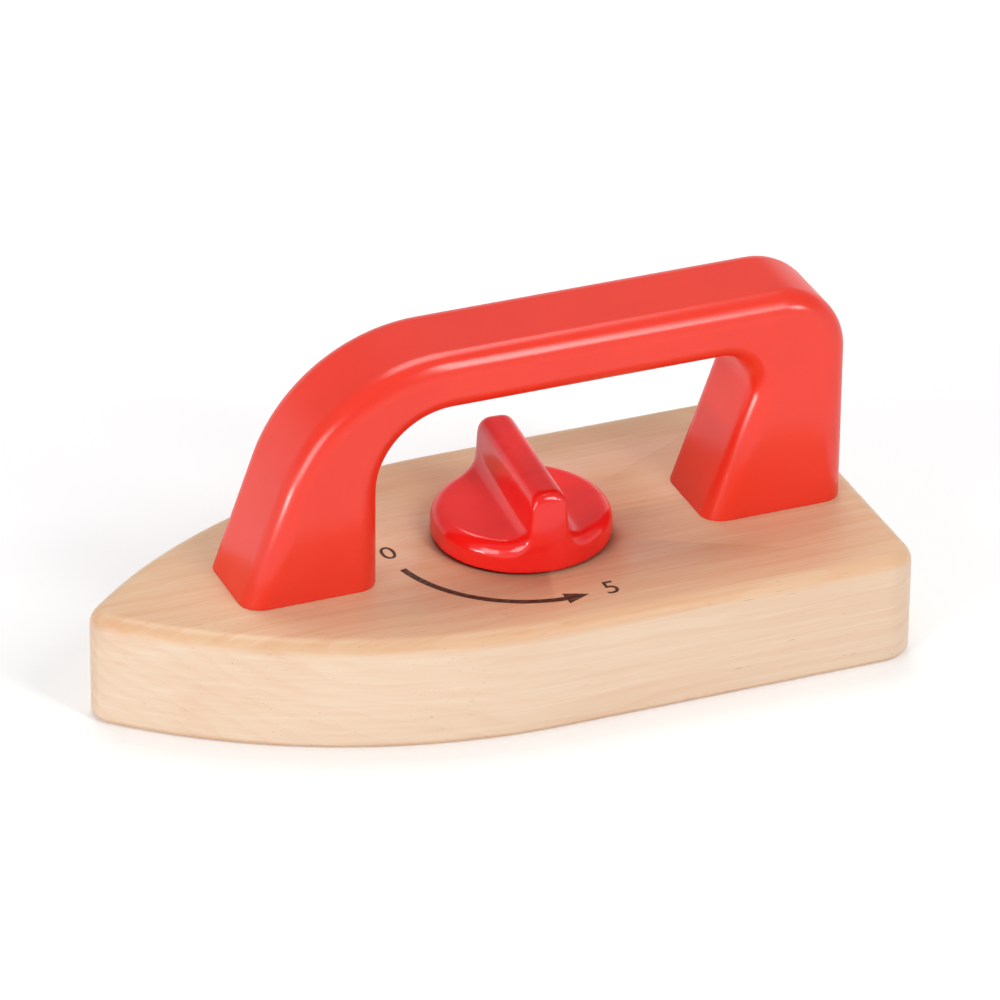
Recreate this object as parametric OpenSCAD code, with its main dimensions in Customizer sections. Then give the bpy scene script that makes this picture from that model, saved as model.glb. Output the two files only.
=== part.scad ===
// Toy iron: a wooden sole block with an arched handle and a turning dial.
// Origin: centre of the underside. +X runs from nose to heel, +Z up.

/* [Sole block] */
// Length of the block from nose to heel
sole_length = 150; // [140:1:165]
// Width of the block across its parallel sides
sole_width = 70.5; // [64:0.5:78]
// Thickness of the block
sole_thickness = 21.7; // [20.5:0.1:26]
// Distance from the nose tip to where the sides run parallel
nose_length = 79; // [74:1:86]
// Radius of the nose tip in plan
nose_tip_radius = 6; // [4:0.5:8]
// Radius of the two heel corners in plan
heel_corner_radius = 7; // [4:0.5:10]
// Rounding of the edge round the top face
top_edge_radius = 3.25; // [1:0.25:3.75]
// Rounding of the edge round the underside
bottom_edge_radius = 1.5; // [0.5:0.25:2]

/* [Handle] */
// Width of the handle across the block
handle_width = 21.2; // [18:0.2:26]
// Height of the handle above the block
handle_height = 44.6; // [42:0.2:50]
// Thickness of the grip
grip_thickness = 11.3; // [9.5:0.1:12.5]
// Rounding of the handle's long edges
handle_edge_radius = 4.2; // [3:0.1:4.6]
// Distance from the nose tip to the toe of the front foot
front_toe_setback = 26; // [24:0.1:30]
// Length of the front foot on the block
front_foot_length = 26.5; // [24:0.5:29]
// Distance from the heel face to the rear foot
rear_heel_setback = 4.8; // [4:0.1:9]
// Length of the rear foot on the block
rear_foot_length = 28; // [25:0.5:30]
// Lean of the legs' front faces from upright, in degrees
leg_lean = 20; // [16:1:23]
// Outer radius of the big bend over the nose
front_bend_radius = 34.5; // [29:0.5:36]
// Outer radius of the bend at the heel end
rear_bend_radius = 13.5; // [10:0.5:16]
// Radius of the opening's bend over the nose
front_inner_radius = 14.5; // [11:0.5:17]
// Radius of the opening's bend at the heel end
rear_inner_radius = 6.5; // [5:0.5:8]

/* [Handle fixings] */
// Shank diameter of the wood screws
screw_diameter = 4; // [3.5:0.5:4.5]
// Length of the wood screws
screw_length = 35; // [32:1:38]
// Head diameter of the wood screws
screw_head_diameter = 8; // [7.5:0.5:9]
// Thickness of the wooden plugs over the screw heads
plug_thickness = 5; // [4:0.5:6]
// How much wider a plug's hole is than the head that passes it
plug_lip = 0.5; // [0.3:0.1:1]
// Diameter of the locating dowels
dowel_diameter = 6; // [5:0.5:7]
// Length of the locating dowels
dowel_length = 20; // [16:1:22]

/* [Dial] */
// Diameter of the dial's disc
dial_diameter = 33.8; // [31:0.2:37]
// Height of the disc at its shoulder
dial_disc_height = 5.6; // [4.4:0.1:6.2]
// Rounding of the disc's shoulder
dial_shoulder_radius = 2.8; // [2:0.1:3.4]
// Height of the dial from its underside to the top of its finger bar
dial_height = 16; // [14.5:0.1:17]
// Thickness of the finger bar at its root
bar_thickness = 7.4; // [6.8:0.1:8]
// How much each side of the finger bar leans in towards its top
bar_draft = 0.3; // [0.05:0.05:0.4]
// Radius of the hollow where the finger bar meets the disc
bar_fillet_radius = 4.25; // [2.5:0.25:4.5]
// Rounding of the finger bar's top edges
bar_edge_radius = 2.2; // [1:0.1:2.4]
// Turn of the finger bar at rest, in degrees
dial_setting = -4; // [-180:1:180]
// Wall of the moulded dial
dial_wall = 2.3; // [1.8:0.1:2.6]
// Radius of the dial's central boss
dial_boss_radius = 6.5; // [6:0.25:8]
// Thickness of the ribs under the dial
dial_rib_thickness = 1.2; // [1:0.1:1.6]
// Number of ribs under the dial
dial_rib_count = 6; // [4:1:8]
// Gap between the dial and the block
dial_gap = 0.4; // [0.4:0.1:1]

/* [Dial spindle] */
// Outer diameter of the steel sleeve in the block
spacer_diameter = 8; // [7:0.5:9]
// Shank diameter of the dial screw
dial_screw_diameter = 4; // [3:0.5:4.5]
// Length of the dial screw under its head
dial_screw_length = 25; // [22:1:27]
// Head diameter of the dial screw
dial_screw_head_diameter = 7.6; // [7:0.2:9]
// Head height of the dial screw
dial_screw_head_height = 2.6; // [2.2:0.1:3]
// Diameter of the steel washer
washer_diameter = 14; // [12:0.5:15.5]
// Thickness of the steel washer
washer_thickness = 1; // [0.8:0.1:1.4]
// Diameter of the fibre washer under the dial
friction_washer_diameter = 22; // [18:0.5:26]
// Diameter of the wooden cover under the dial
cover_diameter = 18; // [17:0.5:22]
// Thickness of the wooden cover
cover_thickness = 4; // [3.5:0.5:5]

/* [Clearances] */
// Radial gap between the sleeve and its bore in the block
running_clearance = 0.05; // [0.02:0.01:0.1]
// Radial gap round glued dowels, plugs and cover
glue_clearance = 0.05; // [0.02:0.01:0.1]
// Radial gap round a screw that holds in its pilot hole
thread_clearance = 0.02; // [0.01:0.01:0.04]
// Radial gap round a screw that passes through
shank_clearance = 0.2; // [0.1:0.05:0.3]
// End float of the dial
end_float = 0.3; // [0.2:0.05:0.4]
// Play between the fibre washer and the dial
friction_gap = 0.1; // [0.05:0.05:0.2]
// Free height between the dial screw's head and the cover
head_room = 1.1; // [0.6:0.1:1.5]
// Depth left free past the end of each screw and dowel
end_gap = 0.5; // [0.3:0.1:1]

/* [Hidden] */

wood = "BurlyWood";
lacquer_red = "Tomato";
dial_red = "Crimson";
steel = "Silver";
fibre = "SaddleBrown";

$fn = 64;
bend_steps = 14;
corner_steps = 6;
side_arc_steps = 26;
small_arc_steps = 8;
rim_angle_step = 5;
root_angle_step = 15;
overrun = 1;

// Places of the foot's dowel and screw, as shares of the foot's length from its toe
dowel_share = 0.37;
screw_share = 0.74;
// Place of the dial as a share of the way from the front foot to the rear foot
dial_share = 0.49;

// Sole outline
half_width = sole_width / 2;
nose_x = -sole_length / 2;
heel_x = sole_length / 2;
tip_centre = [nose_x + nose_tip_radius, 0];
side_arc_x = nose_x + nose_length;
side_arc_radius = ((nose_length - nose_tip_radius) ^ 2 + half_width ^ 2 - nose_tip_radius ^ 2)
                  / (2 * (half_width - nose_tip_radius));
side_arc_y = side_arc_radius - half_width;
heel_corner_x = heel_x - heel_corner_radius;
heel_corner_y = half_width - heel_corner_radius;
tip_blend_angle = atan2(side_arc_y, tip_centre.x - side_arc_x);

// Handle stations, in the X-Z plane
front_toe_x = nose_x + front_toe_setback;
front_heel_x = front_toe_x + front_foot_length;
rear_heel_x = heel_x - rear_heel_setback;
rear_toe_x = rear_heel_x - rear_foot_length;
handle_top = sole_thickness + handle_height;
grip_underside = handle_top - grip_thickness;

// Fixings
plug_diameter = screw_head_diameter + 2 * (shank_clearance + glue_clearance) + plug_lip;
dowel_x = [front_toe_x + dowel_share * front_foot_length, rear_toe_x + dowel_share * rear_foot_length];
screw_x = [front_toe_x + screw_share * front_foot_length, rear_toe_x + screw_share * rear_foot_length];
screw_head_z = plug_thickness + end_gap;
screw_cone_height = (screw_head_diameter - screw_diameter) / 2;
screw_tip_length = screw_diameter;
screw_tip_z = screw_head_z + screw_length;

// Dial
dial_x = front_heel_x + dial_share * (rear_toe_x - front_heel_x);
dial_z = sole_thickness + dial_gap;
dial_radius = dial_diameter / 2;
bearing_z = cover_thickness + head_room + dial_screw_head_height + washer_thickness + end_float;
spacer_bottom = bearing_z - end_float;
washer_bottom = spacer_bottom - washer_thickness;
dial_screw_head_z = washer_bottom - dial_screw_head_height;
dial_screw_tip_z = washer_bottom + dial_screw_length;
bar_half = bar_thickness / 2;
root_edge_x = bar_half + bar_fillet_radius;
friction_washer_thickness = dial_gap - friction_gap;

// Points of an arc from one angle to another
function arc(centre, radius, from, to, steps) =
    [for (i = [0 : steps]) centre + radius * direction(from + (to - from) * i / steps)];

function direction(angle) = [cos(angle), sin(angle)];

function tail(list) = [for (i = [1 : len(list) - 1]) list[i]];

function mirrored(points) = [for (i = [len(points) - 1 : -1 : 0]) [points[i].x, -points[i].y]];

// Half of the block's outline from heel to nose, moved inwards by an inset
function half_outline(inset) = concat(
    arc([heel_corner_x, heel_corner_y], heel_corner_radius - inset, 0, 90, small_arc_steps),
    arc([side_arc_x, -side_arc_y], side_arc_radius - inset, 90, tip_blend_angle, side_arc_steps),
    tail(arc(tip_centre, nose_tip_radius - inset, tip_blend_angle, 180, small_arc_steps)));

// Whole outline at one height, as a ring of points in space
function outline_ring(inset, height) =
    let (half = half_outline(inset))
    [for (point = concat(half, tail(mirrored(half)))) [point.x, point.y, height]];

// Closed solid through rings that have the same number of points
module skin(rings) {
    count = len(rings[0]);
    last = len(rings) - 1;
    points = [for (ring = rings) each ring];
    start_cap = [for (j = [0 : count - 1]) j];
    end_cap = [for (j = [count - 1 : -1 : 0]) last * count + j];
    sides = [for (i = [0 : last - 1], j = [0 : count - 1])
        let (k = (j + 1) % count, low = i * count, high = low + count)
        each [[low + j, high + j, high + k], [low + j, high + k, low + k]]];
    polyhedron(points = points, faces = concat([start_cap], sides, [end_cap]), convexity = 6);
}

// Block with its edges rounded, before any hole
module sole_form() {
    bottom_rings = [for (i = [0 : corner_steps]) let (a = 90 * i / corner_steps)
        outline_ring(bottom_edge_radius * (1 - sin(a)), bottom_edge_radius * (1 - cos(a)))];
    top_rings = [for (i = [0 : corner_steps]) let (a = 90 * i / corner_steps)
        outline_ring(top_edge_radius * (1 - cos(a)), sole_thickness - top_edge_radius * (1 - sin(a)))];
    skin(concat(bottom_rings, top_rings));
}

// Stepped hole from the underside for one handle screw
module screw_hole() {
    cylinder(d = plug_diameter, h = screw_head_z);
    translate([0, 0, screw_head_z])
        cylinder(d1 = screw_head_diameter + 2 * shank_clearance,
                 d2 = screw_diameter + 2 * shank_clearance, h = screw_cone_height);
    cylinder(d = screw_diameter + 2 * shank_clearance, h = sole_thickness + overrun);
}

// Stepped hole from the underside for the dial's spindle
module dial_hole() {
    cylinder(d = cover_diameter, h = bearing_z);
    cylinder(d = spacer_diameter + 2 * running_clearance, h = sole_thickness + overrun);
}

// Blind holes for the dowels, the same in the block and in the feet
module dowel_holes() {
    depth = dowel_length / 2 + end_gap;
    for (x = dowel_x)
        translate([x, 0, sole_thickness - depth])
            cylinder(d = dowel_diameter + 2 * glue_clearance, h = 2 * depth);
}

module sole_block() {
    color(wood)
    difference() {
        sole_form();
        for (x = screw_x) translate([x, 0, 0]) screw_hole();
        translate([dial_x, 0, 0]) dial_hole();
        dowel_holes();
    }
}

module screw_plugs() {
    color(wood)
    for (x = screw_x)
        translate([x, 0, 0]) cylinder(d = plug_diameter - 2 * glue_clearance, h = plug_thickness);
}

module dial_cover() {
    color(wood)
    translate([dial_x, 0, 0]) cylinder(d = cover_diameter - 2 * glue_clearance, h = cover_thickness);
}

// A station holds an outer and an inner point and the way inwards from each of them
function station(outer, outer_way, inner, inner_way) = [outer, outer_way, inner, inner_way];

// Centre of the circle that touches a leaning line through a foot's toe and a level line.
// Side is 1 where the circle lies behind the leaning line and -1 where it lies in front.
function lean_arc_centre(toe_x, level_z, radius, side) =
    let (z = level_z - radius)
    [toe_x + ((z - sole_thickness) * sin(leg_lean) + side * radius) / cos(leg_lean), z];

function bend_angles(from, to) = [for (i = [0 : bend_steps]) from + (to - from) * i / bend_steps];

// Stations round the bend over the nose
function front_bend() =
    let (outer_centre = lean_arc_centre(front_toe_x, handle_top, front_bend_radius, 1),
         inner_centre = [front_heel_x + front_inner_radius, grip_underside - front_inner_radius],
         outer_angles = bend_angles(180 - leg_lean, 90),
         inner_angles = bend_angles(180, 90))
    [for (i = [0 : bend_steps]) station(
        outer_centre + front_bend_radius * direction(outer_angles[i]), -direction(outer_angles[i]),
        inner_centre + front_inner_radius * direction(inner_angles[i]), direction(inner_angles[i]))];

// Stations round the bend at the heel end
function rear_bend() =
    let (outer_centre = [rear_heel_x - rear_bend_radius, handle_top - rear_bend_radius],
         inner_centre = lean_arc_centre(rear_toe_x, grip_underside, rear_inner_radius, -1),
         outer_angles = bend_angles(90, 0),
         inner_angles = bend_angles(90, -leg_lean))
    [for (i = [0 : bend_steps]) station(
        outer_centre + rear_bend_radius * direction(outer_angles[i]), -direction(outer_angles[i]),
        inner_centre + rear_inner_radius * direction(inner_angles[i]), direction(inner_angles[i]))];

// A foot is cut level, so its ways inwards are level too and reach further on a leaning face
function handle_stations() =
    let (level_way = [1 / cos(leg_lean), 0])
    concat(
        [station([front_toe_x, sole_thickness], level_way, [front_heel_x, sole_thickness], [-1, 0])],
        front_bend(),
        rear_bend(),
        [station([rear_heel_x, sole_thickness], [-1, 0], [rear_toe_x, sole_thickness], level_way)]);

// One rounded edge of the section, from the wide face round to the side face
function edge_points(point, way, side) =
    [for (i = [0 : corner_steps])
        let (a = 90 * i / corner_steps,
             p = point + way * handle_edge_radius * (1 - cos(a)),
             y = handle_width / 2 - handle_edge_radius * (1 - sin(a)))
        [p.x, side * y, p.y]];

function reversed(list) = [for (i = [len(list) - 1 : -1 : 0]) list[i]];

// Rounded section of the handle at one station
function handle_ring(s) = concat(
    edge_points(s[0], s[1], -1),
    reversed(edge_points(s[2], s[3], -1)),
    edge_points(s[2], s[3], 1),
    reversed(edge_points(s[0], s[1], 1)));

module handle() {
    color(lacquer_red)
    difference() {
        skin([for (s = handle_stations()) handle_ring(s)]);
        dowel_holes();
        for (x = screw_x)
            translate([x, 0, sole_thickness - overrun])
                cylinder(d = screw_diameter + 2 * thread_clearance,
                         h = screw_tip_z + end_gap - sole_thickness + overrun);
    }
}

module handle_dowels() {
    color(wood)
    for (x = dowel_x)
        translate([x, 0, sole_thickness - dowel_length / 2]) cylinder(d = dowel_diameter, h = dowel_length);
}

// Countersunk wood screw, head down, with its head's flat face at height zero
module wood_screw() {
    shank_end = screw_length - screw_tip_length;
    rotate_extrude()
        polygon([[0, 0], [screw_head_diameter / 2, 0], [screw_diameter / 2, screw_cone_height],
                 [screw_diameter / 2, shank_end], [0, screw_length]]);
}

module handle_screws() {
    color(steel)
    for (x = screw_x) translate([x, 0, screw_head_z]) wood_screw();
}

module friction_washer() {
    color(fibre)
    translate([dial_x, 0, sole_thickness])
    difference() {
        cylinder(d = friction_washer_diameter, h = friction_washer_thickness);
        translate([0, 0, -overrun])
            cylinder(d = spacer_diameter + 2 * shank_clearance, h = friction_washer_thickness + 2 * overrun);
    }
}

// Section across the dial at one place along X, as a ring of points in space.
// It ends on the rim, with its upper corners rounded, and its crest is never quite a point.
function dial_section(x, top, rounding) =
    let (flat_radius = dial_radius - rounding,
         least_crest = dial_radius * sin(rim_angle_step / 2) / 2,
         inner_radius = max(flat_radius, norm([x, least_crest])),
         sweep = acos((inner_radius - flat_radius) / rounding),
         half = concat([[sqrt(dial_radius ^ 2 - x ^ 2), 0]],
             [for (i = [0 : small_arc_steps])
                 let (a = sweep * i / small_arc_steps, r = flat_radius + rounding * cos(a))
                 [sqrt(r ^ 2 - x ^ 2), top - rounding * (1 - sin(a))]]))
    [for (point = concat(half, [for (p = reversed(half)) [-p.x, p.y]])) [x, point.x, point.y]];

// Sections from the middle of the finger bar out to the rim: the bar with its rounded top,
// the hollow that leads down from it, and the plain disc
function dial_half_sections(side) = concat(
    [for (a = [90 : -root_angle_step : 0])
        dial_section(side * (bar_half - bar_draft - bar_edge_radius * (1 - cos(a))),
                     dial_height - bar_edge_radius * (1 - sin(a)), bar_edge_radius)],
    [for (a = [90 : -root_angle_step : 0])
        dial_section(side * (root_edge_x - bar_fillet_radius * sin(a)),
                     dial_disc_height + bar_fillet_radius * (1 - cos(a)), dial_shoulder_radius)],
    [for (a = [90 - rim_angle_step / 2 : -rim_angle_step : 0])
        if (dial_radius * cos(a) > root_edge_x)
            dial_section(side * dial_radius * cos(a), dial_disc_height, dial_shoulder_radius)]);

// Hollow under the disc, round a central boss with ribs
module dial_hollow() {
    hollow_radius = dial_radius - dial_wall;
    depth = dial_disc_height - dial_wall;
    difference() {
        translate([0, 0, -overrun]) cylinder(r = hollow_radius, h = depth + overrun);
        cylinder(r = dial_boss_radius, h = depth);
        translate([0, 0, dial_gap])
        for (i = [0 : dial_rib_count - 1])
            rotate([0, 0, 360 * i / dial_rib_count])
                translate([0, -dial_rib_thickness / 2, 0])
                    cube([hollow_radius + dial_wall / 2, dial_rib_thickness, depth]);
    }
}

module dial_knob() {
    color(dial_red)
    translate([dial_x, 0, dial_z])
    rotate([0, 0, dial_setting])
    difference() {
        skin(concat(reversed(dial_half_sections(-1)), dial_half_sections(1)));
        dial_hollow();
        translate([0, 0, -overrun])
            cylinder(d = dial_screw_diameter + 2 * thread_clearance,
                     h = dial_screw_tip_z + end_gap - dial_z + overrun);
    }
}

module dial_spacer() {
    color(steel)
    translate([dial_x, 0, spacer_bottom])
    difference() {
        cylinder(d = spacer_diameter, h = dial_z - spacer_bottom);
        translate([0, 0, -overrun])
            cylinder(d = dial_screw_diameter + 2 * shank_clearance,
                     h = dial_z - spacer_bottom + 2 * overrun);
    }
}

module dial_washer() {
    color(steel)
    translate([dial_x, 0, washer_bottom])
    difference() {
        cylinder(d = washer_diameter, h = washer_thickness);
        translate([0, 0, -overrun])
            cylinder(d = dial_screw_diameter + 2 * shank_clearance, h = washer_thickness + 2 * overrun);
    }
}

module dial_screw() {
    color(steel)
    translate([dial_x, 0, dial_screw_head_z]) {
        cylinder(d = dial_screw_head_diameter, h = dial_screw_head_height);
        cylinder(d = dial_screw_diameter, h = dial_screw_head_height + dial_screw_length);
    }
}

sole_block();
screw_plugs();
dial_cover();
handle();
handle_dowels();
handle_screws();
friction_washer();
dial_knob();
dial_spacer();
dial_washer();
dial_screw();
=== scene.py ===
"""Toy iron: a pale wooden block with a red arched handle and a red dial that turns.

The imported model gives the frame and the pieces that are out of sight. The block, the handle, the
dial and the printed marks are built here. Everything is in metres, X from nose to heel, Z up.
"""

import math

import bmesh
import bpy
from bpy.props import FloatProperty, FloatVectorProperty, PointerProperty
from bpy.types import Operator, Panel, PropertyGroup
from mathutils import Matrix, Vector


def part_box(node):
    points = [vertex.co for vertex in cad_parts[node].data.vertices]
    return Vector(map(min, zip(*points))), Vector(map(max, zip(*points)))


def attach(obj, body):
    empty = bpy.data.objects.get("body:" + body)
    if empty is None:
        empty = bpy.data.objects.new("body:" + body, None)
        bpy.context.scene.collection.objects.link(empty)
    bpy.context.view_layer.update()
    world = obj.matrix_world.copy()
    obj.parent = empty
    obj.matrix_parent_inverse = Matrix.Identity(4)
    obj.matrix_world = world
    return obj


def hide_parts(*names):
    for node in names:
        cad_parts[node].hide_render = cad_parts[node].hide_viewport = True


bl_info = {
    "name": "Toy Iron",
    "version": (1, 0, 0),
    "blender": (4, 5, 0),
    "location": "3D View > Sidebar > Toy Iron",
    "description": "Builds a wooden toy iron with a red handle and a turning dial",
    "category": "Object",
}

# Vertices nearer than WELD are one. EDGE_STRIP is the flat strip that is left beside a rounding.
MM = 0.001
WELD = 0.001 * MM
CUT_TOLERANCE = 0.0005 * MM
EDGE_STRIP = 0.25 * MM

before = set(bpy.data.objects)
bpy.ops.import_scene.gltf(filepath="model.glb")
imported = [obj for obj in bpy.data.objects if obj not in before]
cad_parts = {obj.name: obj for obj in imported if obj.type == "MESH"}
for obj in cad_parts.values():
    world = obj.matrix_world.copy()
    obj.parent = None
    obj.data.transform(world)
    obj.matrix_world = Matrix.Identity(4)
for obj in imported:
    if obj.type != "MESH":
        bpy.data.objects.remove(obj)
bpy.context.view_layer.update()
BLOCK_LOW, BLOCK_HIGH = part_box("sole_block")
HANDLE_LOW, HANDLE_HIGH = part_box("handle")
DIAL_LOW, DIAL_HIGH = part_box("dial_knob")
PLUG_LOW, PLUG_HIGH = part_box("screw_plugs")
SLEEVE_LOW, SLEEVE_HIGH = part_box("dial_spacer")
COVER_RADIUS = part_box("dial_cover")[1].y
DIAL_CENTRE = (DIAL_LOW + DIAL_HIGH) / 2


def distance(name, description, default):
    return FloatProperty(name=name, description=description, default=default, min=0.0,
                         unit="LENGTH", subtype="DISTANCE", precision=5)


def share(name, description, default):
    return FloatProperty(name=name, description=description, default=default, min=0.0, max=1.0,
                         subtype="FACTOR")


def angle(name, description, degrees):
    return FloatProperty(name=name, description=description, default=math.radians(degrees),
                         subtype="ANGLE")


def colour(name, description, default):
    return FloatVectorProperty(name=name, description=description, default=default, size=3,
                               min=0.0, max=1.0, subtype="COLOR")


class BlockSettings(PropertyGroup):
    nose_length: distance("Nose length", "From the nose tip to where the sides run parallel", 79 * MM)
    nose_radius: distance("Nose radius", "Radius of the nose tip in plan", 6 * MM)
    heel_radius: distance("Heel corners", "Radius of the two heel corners in plan", 7 * MM)
    top_edge: distance("Top edge", "Rounding of the edge round the top face", 3.25 * MM)
    bottom_edge: distance("Bottom edge", "Rounding of the edge round the underside", 1.5 * MM)
    # The top is darker and more orange than the sides: partly the flat-sawn grain's own tone, partly
    # painted shade and painted red light reflected from the handle.
    side_wood: colour("Side wood", "Wood on the sides of the block", (0.800, 0.615, 0.455))
    top_wood_and_shade: colour("Top wood", "Wood on the flat-sawn top face", (0.775, 0.525, 0.325))
    end_wood: colour("End wood", "End grain at the heel", (0.640, 0.400, 0.235))
    grain: share("Grain", "Contrast of the growth rings", 0.40)


class HandleSettings(PropertyGroup):
    thickness: distance("Grip thickness", "Thickness of the grip", 11.3 * MM)
    edge: distance("Edge", "Rounding of the long edges", 4.2 * MM)
    front_foot: distance("Front foot", "Length of the front foot", 26.5 * MM)
    rear_foot: distance("Rear foot", "Length of the rear foot", 28 * MM)
    lean: angle("Lean", "Lean of the legs' front faces from upright", 20)
    front_bend: distance("Front bend", "Outer radius of the bend over the nose", 34.5 * MM)
    rear_bend: distance("Rear bend", "Outer radius of the bend at the heel end", 13.5 * MM)
    front_inner: distance("Front opening", "Radius of the opening over the nose", 14.5 * MM)
    rear_inner: distance("Rear opening", "Radius of the opening at the heel end", 6.5 * MM)
    lacquer: colour("Lacquer", "Red lacquer of the handle", (0.865, 0.036, 0.015))


class DialSettings(PropertyGroup):
    softening: distance("Softening", "Size of the cells that soften the moulded corners", 0.3 * MM)
    plastic: colour("Plastic", "Red plastic of the dial", (0.860, 0.012, 0.009))


class MarksSettings(PropertyGroup):
    radius: distance("Arc radius", "Radius of the printed arc round the dial", 26.2 * MM)
    line: distance("Line", "Width of the printed line", 1.3 * MM)
    figure: distance("Figure height", "Height of the two printed figures", 4.4 * MM)
    thickness: distance("Ink", "Height of the ink above the wood", 0.03 * MM)
    ink: colour("Ink colour", "Dark brown printing ink", (0.070, 0.022, 0.012))


class StageSettings(PropertyGroup):
    lens: FloatProperty(name="Lens", description="Focal length of the camera in millimetres",
                        default=273.6, unit="CAMERA")
    floor: colour("Floor", "Colour of the floor", (0.88, 0.88, 0.88))
    sky: FloatProperty(name="Sky", description="Strength of the even light all round", default=0.31)


class Value:
    """A shader socket that can be used in sums with numbers and other sockets."""

    def __init__(self, shader, socket):
        self.shader = shader
        self.socket = socket

    def __add__(self, other):
        return self.shader.maths("ADD", self, other)

    __radd__ = __add__

    def __sub__(self, other):
        return self.shader.maths("SUBTRACT", self, other)

    def __rsub__(self, other):
        return self.shader.maths("SUBTRACT", other, self)

    def __mul__(self, other):
        return self.shader.maths("MULTIPLY", self, other)

    __rmul__ = __mul__

    def __truediv__(self, other):
        return self.shader.maths("DIVIDE", self, other)

    def __rtruediv__(self, other):
        return self.shader.maths("DIVIDE", other, self)


class Shader:
    """Nodes of one material or world, added by short calls."""

    def __init__(self, owner):
        owner.use_nodes = True
        self.tree = owner.node_tree
        self.tree.nodes.clear()

    def node(self, kind, settings=None, inputs=None, output=0):
        """Adds any node. A number, colour or Value goes into each socket that is named."""
        made = self.tree.nodes.new(kind)
        for name, value in (settings or {}).items():
            setattr(made, name, value)
        for key, value in (inputs or {}).items():
            self.plug(made.inputs[key], value)
        return Value(self, made.outputs[output]) if len(made.outputs) else made

    def plug(self, socket, value):
        if isinstance(value, Value):
            self.tree.links.new(value.socket, socket)
        elif socket.type == "RGBA" and len(value) == 3:
            socket.default_value = (*value, 1.0)
        else:
            socket.default_value = value

    def maths(self, operation, *values):
        return self.node("ShaderNodeMath", {"operation": operation}, dict(enumerate(values)))

    def steps(self, value, low, high, to_low=0.0, to_high=1.0):
        """Eases from to_low to to_high as value goes from low to high."""
        return self.node("ShaderNodeMapRange", {"interpolation_type": "SMOOTHSTEP"},
                         {"Value": value, "From Min": low, "From Max": high,
                          "To Min": to_low, "To Max": to_high})

    def mix(self, factor, first, second, blend="MIX"):
        settings = {"data_type": "RGBA", "blend_type": blend}
        return self.node("ShaderNodeMix", settings, {0: factor, 6: first, 7: second}, output=2)

    def place(self, scale=(1, 1, 1), shift=(0, 0, 0), turn=(0, 0, 0)):
        """Object coordinates, shifted and turned. The scale is in units per millimetre."""
        coordinates = self.node("ShaderNodeTexCoord", output="Object")
        mapped = self.node("ShaderNodeMapping", None,
                           {"Vector": coordinates, "Location": shift, "Rotation": turn})
        size = [s / MM for s in scale]
        return self.node("ShaderNodeVectorMath", {"operation": "MULTIPLY"}, {0: mapped, 1: size})

    def noise(self, vector, detail=2.0, roughness=0.5, distortion=0.0):
        return self.node("ShaderNodeTexNoise", None,
                         {"Vector": vector, "Scale": 1.0, "Detail": detail,
                          "Roughness": roughness, "Distortion": distortion})

    def part(self, vector, axis):
        return self.node("ShaderNodeSeparateXYZ", None, {0: vector}, output=axis)

    def bump(self, height, strength, depth):
        return self.node("ShaderNodeBump", None,
                         {"Height": height, "Strength": strength, "Distance": depth})

    def shown(self):
        """1 where the camera, a reflection or a view through glass looks, and 0 for light."""
        rays = [self.node("ShaderNodeLightPath", output=name)
                for name in ("Is Camera Ray", "Is Glossy Ray", "Is Transmission Ray")]
        return self.maths("MAXIMUM", self.maths("MAXIMUM", rays[0], rays[1]), rays[2])

    def surface(self, **inputs):
        """Principled surface. Underscores in a name stand for the spaces of its socket."""
        named = {key.replace("_", " "): value for key, value in inputs.items()}
        made = self.node("ShaderNodeBsdfPrincipled", None, named)
        self.node("ShaderNodeOutputMaterial", None, {"Surface": made})


def material(name):
    made = bpy.data.materials.new(name)
    return made, Shader(made)


def log_rings(s, shift, turn):
    """Dark late wood of each yearly ring. Places and widths are in millimetres."""
    heart_y = 55.0
    heart_z = -75.0
    ring_width = 2.9
    plain = s.place(shift=shift, turn=turn)
    drift = s.noise(s.place((0.02, 0.05, 0.05), shift, turn), 2.0)
    fine_drift = s.noise(s.place((0.05, 0.35, 0.35), shift, turn), 2.0)
    across = s.part(plain, "Y") - heart_y
    up = s.part(plain, "Z") - heart_z
    radius = s.maths("SQRT", across * across + up * up) + drift * 9.0 + fine_drift * 0.9
    ring = s.maths("FRACT", radius / ring_width)
    return s.steps(ring, 0.25, 0.93) - s.steps(ring, 0.93, 1.0)


def open_pores(s, shift, turn):
    """Short pores along the grain, many in some places and none in others."""
    pores = s.steps(s.noise(s.place((0.30, 4.6, 4.6), shift, turn), 1.0), 0.70, 0.76)
    crowded = s.steps(s.noise(s.place((0.05, 0.25, 0.25), shift, turn), 1.0), 0.40, 0.62)
    return pores * crowded


def lengthwise(s, flat, ends, along, across, detail, shift, turn):
    """Noise drawn out along X: straight lines on the sides and flat faces, dots on the ends."""
    drawn_out = 0.12
    on_sides = s.noise(s.place((along, across * drawn_out, across), shift, turn), detail, 0.6)
    on_flats = s.noise(s.place((along, across, across * drawn_out), shift, turn), detail, 0.6)
    on_ends = s.noise(s.place((along, across, across), shift, turn), detail, 0.6)
    lines = on_sides + (on_flats - on_sides) * flat
    return lines + (on_ends - lines) * ends


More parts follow.
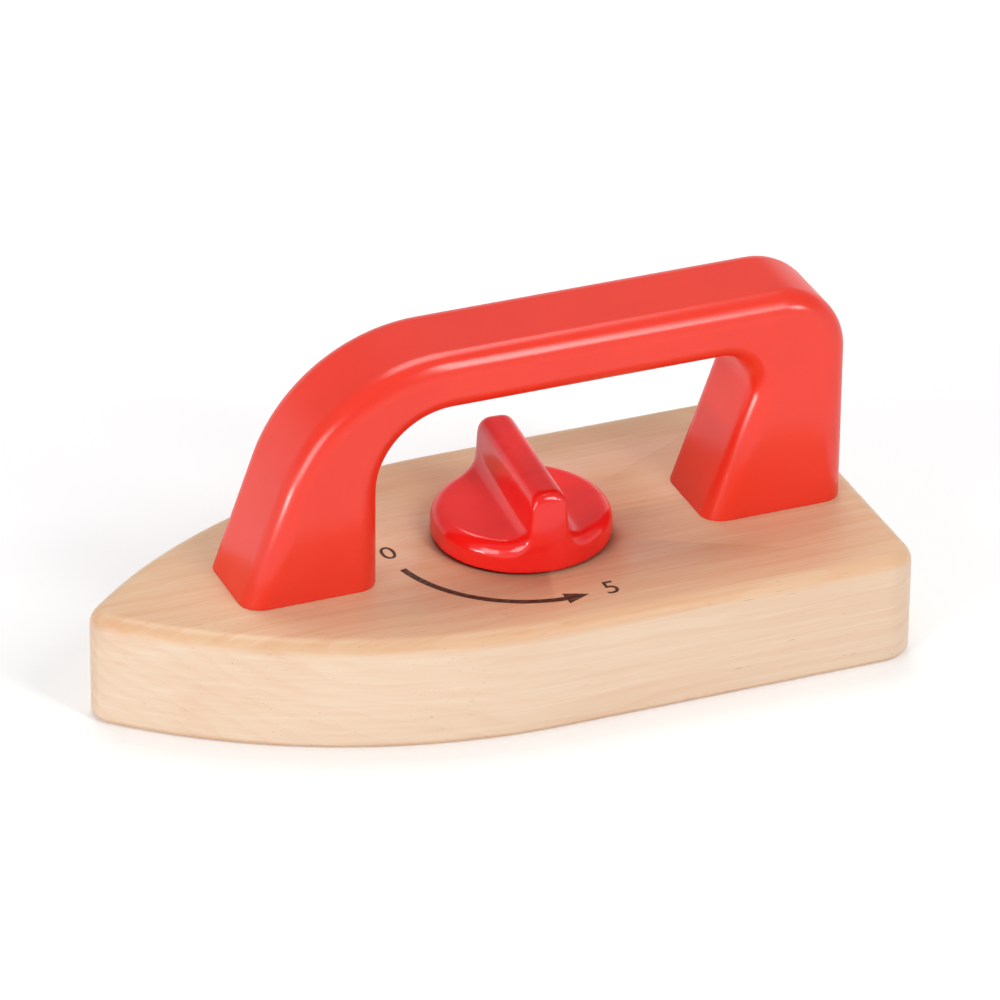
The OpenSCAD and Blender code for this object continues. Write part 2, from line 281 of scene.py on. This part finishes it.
def wood(name, side, top, end, grain, shift=(0, 0, 0), turn=(0, 0, 0), sheen=0.42):
    """Pale hardwood under thin clear lacquer, sawn from one log, with its grain along X."""
    made, s = material(name)
    late = log_rings(s, shift, turn)
    pores = open_pores(s, shift, turn)
    clouds = s.noise(s.place((0.012, 0.06, 0.06), shift, turn), 2.0)

    facing = s.node("ShaderNodeTexCoord", output="Normal")
    facing_x = s.part(facing, "X")
    upright = s.maths("ABSOLUTE", s.part(facing, "Z"))
    flat = s.steps(upright, 0.35, 0.95)
    over_edge = s.steps(upright, 0.12, 0.62)
    rounding = over_edge * s.steps(upright, 0.98, 0.80)
    ends = s.steps(facing_x, 0.80, 0.99) + s.steps(facing_x, -0.90, -1.0) * 0.3
    streaks = lengthwise(s, flat, ends, 0.035, 1.1, 3.0, shift, turn)
    fibres = lengthwise(s, flat, ends, 0.12, 4.2, 2.0, shift, turn)

    # Side and top tones meet over the edge rounding by which way the surface faces; the top's darker,
    # more orange tone is partly painted shade and painted red reflected light.
    base = s.mix(ends, s.mix(over_edge, side, top), end)
    dark = s.mix(1.0, base, (0.90, 0.69, 0.58), "MULTIPLY")
    light = s.mix(0.35, base, (1.0, 0.92, 0.80))
    darkest = s.mix(1.0, dark, (0.50, 0.36, 0.28), "MULTIPLY")
    rings = late * (flat * 0.4 + ends * 1.1 + 0.6) * (grain * 0.55)
    shade = rings + s.steps(streaks, 0.42, 0.75) * 0.16 + s.steps(clouds, 0.4, 0.7) * 0.26
    # Darker over the top edge's rounding: partly the darker cut grain there, partly painted shade.
    shade = shade + rounding * 0.20
    toned = s.mix(shade, base, dark)
    toned = s.mix(s.steps(streaks, 0.52, 0.25) * 0.30, toned, light)
    toned = s.mix(s.steps(fibres, 0.45, 0.8) * 0.16, toned, dark)
    toned = s.mix(pores * 0.55, toned, darkest)

    rough = sheen + fibres * 0.10 + late * 0.05 + pores * 0.25
    relief = fibres * 0.2 + late * 0.15 - pores * 1.2
    s.surface(Base_Color=toned, Roughness=rough, Specular_IOR_Level=0.3, Coat_Weight=0.2,
              Coat_Roughness=0.25, Normal=s.bump(relief, 0.30, 0.05 * MM))
    return made


def lacquer(name, red):
    """Gloss lacquer over sanded wood, whose grain still shows as a faint relief."""
    made, s = material(name)
    grain = s.noise(s.place((0.06, 0.9, 0.9)), 3.0, 0.55)
    peel = s.noise(s.place((0.55, 0.55, 0.55)), 1.0)
    cloud = s.noise(s.place((0.05, 0.05, 0.05)), 2.0)
    dust = s.steps(s.noise(s.place((1.1, 1.1, 1.1)), 0.0), 0.80, 0.86)
    deep = s.mix(1.0, red, (0.92, 0.80, 0.80), "MULTIPLY")
    toned = s.mix(s.steps(cloud, 0.35, 0.7) * 0.55 + grain * 0.15, red, deep)
    rough = 0.34 + cloud * 0.06 + grain * 0.05 + dust * 0.12
    relief = grain * 0.45 + peel * 0.6 + dust * 0.2
    s.surface(Base_Color=toned, Roughness=rough, Specular_IOR_Level=0.05, Coat_Weight=0.38,
              Coat_IOR=2.0, Coat_Roughness=0.22, Normal=s.bump(relief, 0.25, 0.05 * MM))
    return made


def plastic(name, red):
    """Gloss moulded plastic with faint flow marks and hairline scuffs."""
    made, s = material(name)
    flow = s.noise(s.place((0.10, 0.16, 0.10)), 2.0, distortion=0.6)
    peel = s.noise(s.place((0.7, 0.7, 0.7)), 1.0)
    scuffs = s.steps(s.noise(s.place((0.25, 5.0, 3.0), turn=(0.3, 0.2, 0.7)), 1.0), 0.74, 0.80)
    deep = s.mix(1.0, red, (0.86, 0.60, 0.65), "MULTIPLY")
    toned = s.mix(s.steps(flow, 0.35, 0.70) * 0.5, red, deep)
    rough = 0.30 + flow * 0.07 + scuffs * 0.18
    relief = peel * 0.5 - scuffs * 0.4
    s.surface(Base_Color=toned, Roughness=rough, Specular_IOR_Level=0.05, Coat_Weight=0.40,
              Coat_IOR=2.0, Coat_Roughness=0.14, Normal=s.bump(relief, 0.25, 0.04 * MM))
    return made


def printing(name, ink, wood_colour):
    """Thin dark ink that lets a little wood through where it is worn."""
    made, s = material(name)
    wear = s.steps(s.noise(s.place((0.5, 2.2, 2.2)), 3.0, 0.7), 0.50, 0.85)
    toned = s.mix(wear * 0.45, ink, wood_colour)
    s.surface(Base_Color=toned, Roughness=0.45 + wear * 0.15, Specular_IOR_Level=0.2)
    return made


def zinc(name):
    """Zinc-plated steel with a dull crystalline bloom and fine turning lines."""
    made, s = material(name)
    bloom = s.noise(s.place((0.6, 0.6, 0.6)), 3.0, 0.6)
    lines = s.noise(s.place((0.4, 0.4, 7.0)), 2.0)
    toned = s.mix(bloom, (0.62, 0.62, 0.60), (0.80, 0.80, 0.77))
    s.surface(Base_Color=toned, Metallic=1.0, Roughness=0.26 + bloom * 0.16,
              Normal=s.bump(lines, 0.25, 0.03 * MM))
    return made


def fibre(name):
    """Dark red-brown vulcanised fibre with a felted surface."""
    made, s = material(name)
    felt = s.noise(s.place((2.2, 2.2, 2.2)), 4.0, 0.7)
    toned = s.mix(felt, (0.28, 0.085, 0.045), (0.42, 0.16, 0.09))
    s.surface(Base_Color=toned, Roughness=0.72 + felt * 0.15, Normal=s.bump(felt, 0.4, 0.05 * MM))
    return made


def add_piece(bm, name, body, finish, stands_for=()):
    """Turns a finished bmesh into a piece that rides on a body."""
    mesh = bpy.data.meshes.new(name)
    bm.to_mesh(mesh)
    bm.free()
    mesh.shade_smooth()
    mesh.materials.append(finish)
    piece = bpy.data.objects.new(name, mesh)
    bpy.context.scene.collection.objects.link(piece)
    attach(piece, body)
    if stands_for:
        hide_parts(*stands_for)
    return piece


def swing(bm, vert, centre, axis, turn, steps):
    """Draws an arc from a vertex round a centre and returns the arc's last vertex."""
    turned = bmesh.ops.spin(bm, geom=[vert], cent=centre, axis=axis, angle=turn, steps=steps)
    return next(g for g in turned["geom_last"] if isinstance(g, bmesh.types.BMVert))


def line_to(bm, vert, point):
    """Draws a straight line from a vertex and returns its other end."""
    end = bmesh.ops.extrude_vert_indiv(bm, verts=[vert])["verts"][0]
    bmesh.ops.translate(bm, verts=[end], vec=Vector(point) - end.co)
    return end


def weld(bm):
    """Merges doubled vertices and turns all faces outwards."""
    bmesh.ops.remove_doubles(bm, verts=bm.verts[:], dist=WELD)
    bmesh.ops.recalc_face_normals(bm, faces=bm.faces[:])


def lift_faces(bm, faces, way):
    """Lifts flat faces into closed solids."""
    lifted = bmesh.ops.extrude_face_region(bm, geom=faces)["geom"]
    bmesh.ops.translate(bm, verts=[g for g in lifted if isinstance(g, bmesh.types.BMVert)], vec=way)
    bmesh.ops.recalc_face_normals(bm, faces=bm.faces[:])


def raise_outline(bm, way):
    """Fills a closed outline and lifts the face into a solid."""
    lift_faces(bm, bmesh.ops.contextual_create(bm, geom=bm.edges[:])["faces"], way)


def round_edges(bm, edges, radius, segments):
    """Rounds square edges over with a radius."""
    bmesh.ops.bevel(bm, geom=edges, offset=radius, offset_type="OFFSET", segments=segments,
                    profile=0.5, affect="EDGES", material=-1, clamp_overlap=False)


def flat_face(bm, axis, place):
    """The face that lies wholly in a plane across an axis."""
    return next(f for f in bm.faces if all(abs(v.co[axis] - place) < WELD for v in f.verts))


def edge_strips(bm, faces):
    """Insets narrow strips beside rounded edges, so that the shading of flat faces stays flat."""
    bmesh.ops.inset_region(bm, faces=faces, thickness=EDGE_STRIP, use_even_offset=True)


def cut_across(bm, point, normal, drop_below=False):
    """Cuts a loop of edges in a plane, and can drop all that lies below the plane."""
    bmesh.ops.bisect_plane(bm, geom=bm.verts[:] + bm.edges[:] + bm.faces[:], dist=CUT_TOLERANCE,
                           plane_co=point, plane_no=normal, clear_inner=drop_below)


def ring_of(bm, x, radius, height, segments):
    """Edges of a level circle whose centre is on the block's middle line."""
    place = Matrix.Translation((x, 0, height))
    verts = bmesh.ops.create_circle(bm, segments=segments, radius=radius, matrix=place)["verts"]
    return list({e for v in verts for e in v.link_edges})


def raise_ring(bm, edges, rise):
    """Pulls a wall up from a ring of edges and returns the ring at its top."""
    pulled = bmesh.ops.extrude_edge_only(bm, edges=edges)["geom"]
    bmesh.ops.translate(bm, verts=[g for g in pulled if isinstance(g, bmesh.types.BMVert)],
                        vec=(0, 0, rise))
    return [g for g in pulled if isinstance(g, bmesh.types.BMEdge)]


def block_outline(bm, s):
    """Half of the block's plan from heel to nose tip, then its mirror image."""
    half = BLOCK_HIGH.y
    nose_x = BLOCK_LOW.x
    heel_x = BLOCK_HIGH.x
    corner_centre = (heel_x - s.heel_radius, half - s.heel_radius, 0)
    reach = s.nose_length - s.nose_radius
    side_radius = (reach ** 2 + half ** 2 - s.nose_radius ** 2) / (2 * (half - s.nose_radius))
    side_centre = (nose_x + s.nose_length, half - side_radius, 0)
    tip_centre = (nose_x + s.nose_radius, 0, 0)
    sweep = math.atan2(reach, side_radius - half)
    quarter = math.pi / 2
    up = (0, 0, 1)
    point = bm.verts.new((heel_x, 0, 0))
    point = line_to(bm, point, (heel_x, half - s.heel_radius, 0))
    point = swing(bm, point, corner_centre, up, quarter, steps=12)
    point = line_to(bm, point, (side_centre[0], half, 0))
    point = swing(bm, point, side_centre, up, sweep, steps=40)
    swing(bm, point, tip_centre, up, quarter - sweep, steps=12)
    bmesh.ops.mirror(bm, geom=bm.verts[:] + bm.edges[:], axis="Y", merge_dist=WELD)
    bmesh.ops.remove_doubles(bm, verts=bm.verts[:], dist=WELD)


def open_pockets(bm, top_z):
    """Gives the block its two plug holes, and the dial's stepped hole right through."""
    glue_gap = 0.05 * MM
    run_gap = 0.05 * MM
    plug_room = 0.5 * MM
    shelf_z = SLEEVE_LOW.z + 0.3 * MM
    plug_radius = PLUG_HIGH.y
    plug_segments = 48
    dial_segments = 64
    rims = [e for e in bm.edges if e.is_boundary]
    low_edges = [e for e in rims if e.verts[0].co.z < top_z / 2]
    high_edges = [e for e in rims if e.verts[0].co.z > top_z / 2]
    for x in (PLUG_LOW.x + plug_radius, PLUG_HIGH.x - plug_radius):
        mouth = ring_of(bm, x, plug_radius + glue_gap, 0, plug_segments)
        low_edges += mouth
        bmesh.ops.contextual_create(bm, geom=raise_ring(bm, mouth, PLUG_HIGH.z + plug_room))
    mouth = ring_of(bm, DIAL_CENTRE.x, COVER_RADIUS + glue_gap, 0, dial_segments)
    low_edges += mouth
    shelf = raise_ring(bm, mouth, shelf_z)
    bore = ring_of(bm, DIAL_CENTRE.x, SLEEVE_HIGH.y + run_gap, shelf_z, dial_segments)
    bmesh.ops.triangle_fill(bm, edges=shelf + bore, use_beauty=True)
    high_edges += raise_ring(bm, bore, top_z - shelf_z)
    bmesh.ops.triangle_fill(bm, edges=low_edges, use_beauty=True)
    bmesh.ops.triangle_fill(bm, edges=high_edges, use_beauty=True)


def round_block(bm, s, top_z):
    """Rounds both edges of the block, and takes its top and underside out for the holes."""
    round_edges(bm, flat_face(bm, 2, top_z).edges[:], s.top_edge, segments=8)
    round_edges(bm, flat_face(bm, 2, 0).edges[:], s.bottom_edge, segments=6)
    flats = [flat_face(bm, 2, top_z), flat_face(bm, 2, 0)]
    edge_strips(bm, flats)
    for height in (s.bottom_edge + EDGE_STRIP, top_z - s.top_edge - EDGE_STRIP):
        cut_across(bm, (0, 0, height), (0, 0, 1))
    bmesh.ops.delete(bm, geom=flats, context="FACES_ONLY")


class TOYIRON_OT_block(Operator):
    """Build the wooden block with its rounded edges and the holes in its underside"""

    bl_idname = "toyiron.block"
    bl_label = "Block"

    def execute(self, context):
        s = context.scene.toyiron_block
        top_z = BLOCK_HIGH.z
        bm = bmesh.new()
        block_outline(bm, s)
        raise_outline(bm, (0, 0, top_z))
        round_block(bm, s, top_z)
        open_pockets(bm, top_z)
        weld(bm)
        finish = wood("clear_wood", s.side_wood, s.top_wood_and_shade, s.end_wood, s.grain)
        add_piece(bm, "block_shaped", "block", finish, ["sole_block"])
        return {"FINISHED"}


def lean_centre(toe_x, level_z, radius, side, lean):
    """Centre of the arc that touches a leg's leaning front face and a level line.

    The side is 1 for a centre behind that face, and -1 for one in front of it.
    """
    z = level_z - radius
    run = (z - BLOCK_HIGH.z) * math.sin(lean) + side * radius
    return (toe_x + run / math.cos(lean), 0, z)


def handle_outline(bm, s):
    """Side outline of the handle, with its feet drawn a little too long."""
    top_z = HANDLE_HIGH.z
    under_z = top_z - s.thickness
    spare = 6 * MM
    spare_z = BLOCK_HIGH.z - spare
    lean_run = spare * math.tan(s.lean)
    front_toe = HANDLE_LOW.x
    front_heel = front_toe + s.front_foot
    rear_heel = HANDLE_HIGH.x
    rear_toe = rear_heel - s.rear_foot
    side = (0, 1, 0)
    over_nose = lean_centre(front_toe, top_z, s.front_bend, 1, s.lean)
    over_heel = (rear_heel - s.rear_bend, 0, top_z - s.rear_bend)
    in_heel = lean_centre(rear_toe, under_z, s.rear_inner, -1, s.lean)
    in_nose = (front_heel + s.front_inner, 0, under_z - s.front_inner)
    quarter = math.pi / 2
    facing_nose = math.pi - s.lean

    def on_arc(centre, radius, turn):
        return (centre[0] + radius * math.cos(turn), 0, centre[2] + radius * math.sin(turn))

    first = bm.verts.new((front_toe - lean_run, 0, spare_z))
    point = line_to(bm, first, on_arc(over_nose, s.front_bend, facing_nose))
    point = swing(bm, point, over_nose, side, quarter - s.lean, steps=36)
    point = line_to(bm, point, on_arc(over_heel, s.rear_bend, quarter))
    point = swing(bm, point, over_heel, side, quarter, steps=24)
    point = line_to(bm, point, (rear_heel, 0, spare_z))
    point = line_to(bm, point, (rear_toe - lean_run, 0, spare_z))
    point = line_to(bm, point, on_arc(in_heel, s.rear_inner, -s.lean))
    point = swing(bm, point, in_heel, side, -(quarter + s.lean), steps=24)
    point = line_to(bm, point, on_arc(in_nose, s.front_inner, quarter))
    point = swing(bm, point, in_nose, side, -quarter, steps=30)
    point = line_to(bm, point, (front_heel, 0, spare_z))
    bm.edges.new((point, first))


def round_handle(bm, half_width, edge):
    """Rounds the handle over along both sides."""
    sides = (half_width, -half_width)
    flats = [flat_face(bm, 1, y) for y in sides]
    round_edges(bm, [e for f in flats for e in f.edges], edge, segments=8)
    edge_strips(bm, [flat_face(bm, 1, y) for y in sides])
    for way in (-1, 1):
        cut_across(bm, (0, way * (half_width - edge - EDGE_STRIP), 0), (0, 1, 0))


def cut_feet(bm):
    """Cuts both feet flat on the block and breaks the edges of their soles."""
    sole_edge = 0.25 * MM
    cut_across(bm, (0, 0, BLOCK_HIGH.z), (0, 0, 1), drop_below=True)
    soles = [e for e in bm.edges if e.is_boundary]
    bmesh.ops.edgeloop_fill(bm, edges=soles)
    round_edges(bm, soles, sole_edge, segments=2)


class TOYIRON_OT_handle(Operator):
    """Build the red handle: one board profile, rounded over along both sides"""

    bl_idname = "toyiron.handle"
    bl_label = "Handle"

    def execute(self, context):
        s = context.scene.toyiron_handle
        width = HANDLE_HIGH.y - HANDLE_LOW.y
        bm = bmesh.new()
        handle_outline(bm, s)
        raise_outline(bm, (0, width, 0))
        bmesh.ops.translate(bm, verts=bm.verts[:], vec=(0, -width / 2, 0))
        round_handle(bm, width / 2, s.edge)
        cut_feet(bm)
        weld(bm)
        finish = lacquer("red_lacquer", s.lacquer)
        add_piece(bm, "handle_lacquered", "block", finish, ["handle"])
        return {"FINISHED"}


class TOYIRON_OT_dial(Operator):
    """Build the moulded dial with softened corners"""

    bl_idname = "toyiron.dial"
    bl_label = "Dial"

    def execute(self, context):
        s = context.scene.toyiron_dial
        bm = bmesh.new()
        bm.from_mesh(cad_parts["dial_knob"].data)
        weld(bm)
        finish = plastic("dial_plastic", s.plastic)
        piece = add_piece(bm, "dial_moulded", "dial", finish, ["dial_knob"])
        cells = piece.modifiers.new("cells", "REMESH")
        cells.mode = "VOXEL"
        cells.voxel_size = s.softening
        cells.use_smooth_shade = True
        soften = piece.modifiers.new("soften", "SMOOTH")
        soften.factor = 0.5
        soften.iterations = 12
        return {"FINISHED"}


def round_dial(radius, degrees):
    """Level place round the dial's axis. The angle starts from the side of the heel."""
    turn = math.radians(degrees)
    return Vector((DIAL_CENTRE.x + radius * math.cos(turn), radius * math.sin(turn), 0))


def add_arc(bm, s, start, end):
    """Flat band along the arc, drawn from one short radial edge."""
    verts = [bm.verts.new(round_dial(s.radius + side * s.line / 2, start)) for side in (-1, 1)]
    edge = bm.edges.new(verts)
    bmesh.ops.spin(bm, geom=[*verts, edge], cent=(DIAL_CENTRE.x, 0, 0), axis=(0, 0, 1),
                   angle=math.radians(end - start), steps=48)


def add_arrow_head(bm, s, tip):
    """Flat triangle along the arc, with its point on it."""
    length = 4.6 * MM
    half_width = 1.9 * MM
    place = Matrix.Translation(round_dial(s.radius, tip))
    turn = Matrix.Rotation(math.radians(tip + 90 - math.degrees(length / s.radius / 2)), 4, "Z")
    points = [(0, 0, 0), (-length, half_width, 0), (-length, -half_width, 0)]
    bm.faces.new([bm.verts.new(place @ turn @ Vector(p)) for p in points])


def add_figure(bm, text, height, centre):
    """One printed figure as flat faces. Its height is a share of the type size."""
    figure_share = 0.7
    curve = bpy.data.curves.new("figure", "FONT")
    curve.body = text
    curve.align_x = "CENTER"
    curve.align_y = "CENTER"
    curve.size = height / figure_share
    drawn = bpy.data.objects.new("figure", curve)
    mesh = bpy.data.meshes.new_from_object(drawn)
    mesh.transform(Matrix.Translation(centre))
    bm.from_mesh(mesh)
    bpy.data.objects.remove(drawn)
    bpy.data.curves.remove(curve)
    bpy.data.meshes.remove(mesh)


class TOYIRON_OT_marks(Operator):
    """Print the arc, its arrow head and the two figures beside the dial"""

    bl_idname = "toyiron.marks"
    bl_label = "Printed marks"

    def execute(self, context):
        s = context.scene.toyiron_marks
        sunk = 0.02 * MM
        bm = bmesh.new()
        add_arc(bm, s, start=192, end=266)
        add_arrow_head(bm, s, tip=276)
        add_figure(bm, "0", s.figure, round_dial(26 * MM, 178))
        add_figure(bm, "5", s.figure, round_dial(26.5 * MM, 286))
        bmesh.ops.translate(bm, verts=bm.verts[:], vec=(0, 0, BLOCK_HIGH.z - sunk))
        bmesh.ops.recalc_face_normals(bm, faces=bm.faces[:])
        lift_faces(bm, bm.faces[:], (0, 0, sunk + s.thickness))
        wood_colour = context.scene.toyiron_block.top_wood_and_shade
        finish = printing("print_ink", s.ink, wood_colour)
        piece = add_piece(bm, "dial_marks", "block", finish)
        piece.data.shade_flat()
        return {"FINISHED"}


class TOYIRON_OT_fixings(Operator):
    """Give the plugs, cover, dowels, screws, sleeve and washers their finishes"""

    bl_idname = "toyiron.fixings"
    bl_label = "Plugs and fixings"

    def execute(self, context):
        s = context.scene.toyiron_block
        plug = wood("plug_wood", s.side_wood, s.top_wood_and_shade, s.end_wood, s.grain,
                    shift=(0.031, 0.012, 0.004), turn=(0, 0, math.radians(24)), sheen=0.5)
        dowel = wood("dowel_wood", s.side_wood, s.end_wood, s.end_wood, s.grain,
                     turn=(0, math.pi / 2, 0), sheen=0.6)
        steel = zinc("zinc_steel")
        finishes = {
            "screw_plugs": plug,
            "dial_cover": plug,
            "handle_dowels": dowel,
            "handle_screws": steel,
            "dial_spacer": steel,
            "dial_washer": steel,
            "dial_screw": steel,
            "friction_washer": fibre("fibre"),
        }
        for node, finish in finishes.items():
            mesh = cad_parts[node].data
            mesh.materials.clear()
            mesh.materials.append(finish)
        return {"FINISHED"}


def add_lamp(name, place, size, power):
    """Rectangular soft lamp that faces the middle of the iron."""
    target = Vector((0, 0, 0.03))
    lamp = bpy.data.lights.new(name, "AREA")
    lamp.shape = "RECTANGLE"
    lamp.size, lamp.size_y = size
    lamp.energy = power
    holder = bpy.data.objects.new(name, lamp)
    holder.location = place
    holder.rotation_euler = (target - Vector(place)).to_track_quat("-Z", "Y").to_euler()
    bpy.context.scene.collection.objects.link(holder)


def add_camera(lens):
    """Camera at the photograph's viewing angle and distance."""
    place = (-0.463, -1.128, 0.713)
    azimuth = math.radians(-22.53)
    elevation = math.radians(29.25)
    roll = math.radians(0.65)
    data = bpy.data.cameras.new("camera")
    data.lens = lens
    data.sensor_width = 36
    data.clip_start = 0.01
    camera = bpy.data.objects.new("camera", data)
    level = math.cos(elevation)
    back = Vector((math.sin(azimuth) * level, -math.cos(azimuth) * level, math.sin(elevation)))
    aim = (-back).to_track_quat("-Z", "Y").to_matrix().to_4x4()
    camera.matrix_world = Matrix.Translation(place) @ aim @ Matrix.Rotation(roll, 4, "Z")
    bpy.context.scene.collection.objects.link(camera)
    bpy.context.scene.camera = camera


def floor_finish(tone):
    """Pale matt floor. Where it is seen, it glows a little more the farther it is from the lamps."""
    near = 500.0
    far = 2000.0
    made, s = material("floor")
    away = s.node("ShaderNodeVectorMath", {"operation": "LENGTH"}, {0: s.place()}, output=1)
    glow = s.steps(away, near, far, 0.20, 0.85)
    s.surface(Base_Color=tone, Roughness=0.9, Specular_IOR_Level=0.0,
              Emission_Color=(1.0, 1.0, 1.0), Emission_Strength=s.shown() * glow)
    return made


def add_floor(tone):
    """Level floor just under the block."""
    reach = 6
    gap = 0.02 * MM
    bm = bmesh.new()
    bmesh.ops.create_grid(bm, x_segments=1, y_segments=1, size=reach)
    bmesh.ops.translate(bm, verts=bm.verts[:], vec=(0, 0, -gap))
    mesh = bpy.data.meshes.new("floor")
    bm.to_mesh(mesh)
    bm.free()
    mesh.materials.append(floor_finish(tone))
    floor = bpy.data.objects.new("floor", mesh)
    bpy.context.scene.collection.objects.link(floor)


def add_sky(strength):
    """Even light all round. Where it is seen, it is white and softens to grey overhead."""
    world = bpy.data.worlds.new("sky")
    bpy.context.scene.world = world
    s = Shader(world)
    height = s.part(s.node("ShaderNodeTexCoord", output="Generated"), "Z")
    seen = s.steps(height, 0.12, 0.38, 1.0, 0.45)
    glow = s.node("ShaderNodeBackground", None,
                  {"Color": (1.0, 1.0, 1.0), "Strength": strength + s.shown() * (seen - strength)})
    s.node("ShaderNodeOutputWorld", None, {"Surface": glow})


class TOYIRON_OT_stage(Operator):
    """Set up the floor, the soft lamps, the sky and the camera"""

    bl_idname = "toyiron.stage"
    bl_label = "Stage"

    def execute(self, context):
        s = context.scene.toyiron_stage
        add_floor(s.floor)
        add_sky(s.sky)
        add_lamp("key_lamp", (-1.02, -0.56, 0.46), (0.46, 0.60), 4.9)
        add_lamp("low_lamp", (-1.15, -0.36, 0.032), (0.32, 0.06), 2.7)
        add_lamp("edge_lamp", (0.36, -0.80, 0.82), (0.18, 0.60), 4.0)
        add_lamp("right_lamp", (0.77, -0.92, 0.52), (0.22, 0.22), 2.7)
        add_lamp("overhead_lamp", (0.10, 0.45, 1.05), (0.6, 0.6), 5.0)
        add_camera(s.lens)
        context.scene.view_settings.view_transform = "Standard"
        return {"FINISHED"}


class TOYIRON_PT_sidebar(Panel):
    """Lists the steps that build the toy iron"""

    bl_label = "Toy Iron"
    bl_idname = "TOYIRON_PT_sidebar"
    bl_space_type = "VIEW_3D"
    bl_region_type = "UI"
    bl_category = "Toy Iron"

    def draw(self, context):
        for name, settings, operator in STEPS:
            box = self.layout.box()
            box.operator(operator)
            if settings is not None:
                values = getattr(context.scene, name)
                for key in settings.__annotations__:
                    box.prop(values, key)


STEPS = [
    ("toyiron_block", BlockSettings, "toyiron.block"),
    ("toyiron_handle", HandleSettings, "toyiron.handle"),
    ("toyiron_dial", DialSettings, "toyiron.dial"),
    ("toyiron_marks", MarksSettings, "toyiron.marks"),
    ("toyiron_fixings", None, "toyiron.fixings"),
    ("toyiron_stage", StageSettings, "toyiron.stage"),
]

CLASSES = [BlockSettings, HandleSettings, DialSettings, MarksSettings, StageSettings,
           TOYIRON_OT_block, TOYIRON_OT_handle, TOYIRON_OT_dial, TOYIRON_OT_marks,
           TOYIRON_OT_fixings, TOYIRON_OT_stage, TOYIRON_PT_sidebar]


def register():
    for cls in CLASSES:
        bpy.utils.register_class(cls)
    for name, settings, _ in STEPS:
        if settings is not None:
            setattr(bpy.types.Scene, name, PointerProperty(type=settings))


def unregister():
    for name, settings, _ in STEPS:
        if settings is not None:
            delattr(bpy.types.Scene, name)
    for cls in reversed(CLASSES):
        bpy.utils.unregister_class(cls)


def main():
    register()
    bpy.ops.toyiron.block()
    bpy.ops.toyiron.handle()
    bpy.ops.toyiron.dial()
    bpy.ops.toyiron.marks()
    bpy.ops.toyiron.fixings()
    bpy.ops.toyiron.stage()


if __name__ == "__main__":
    main()
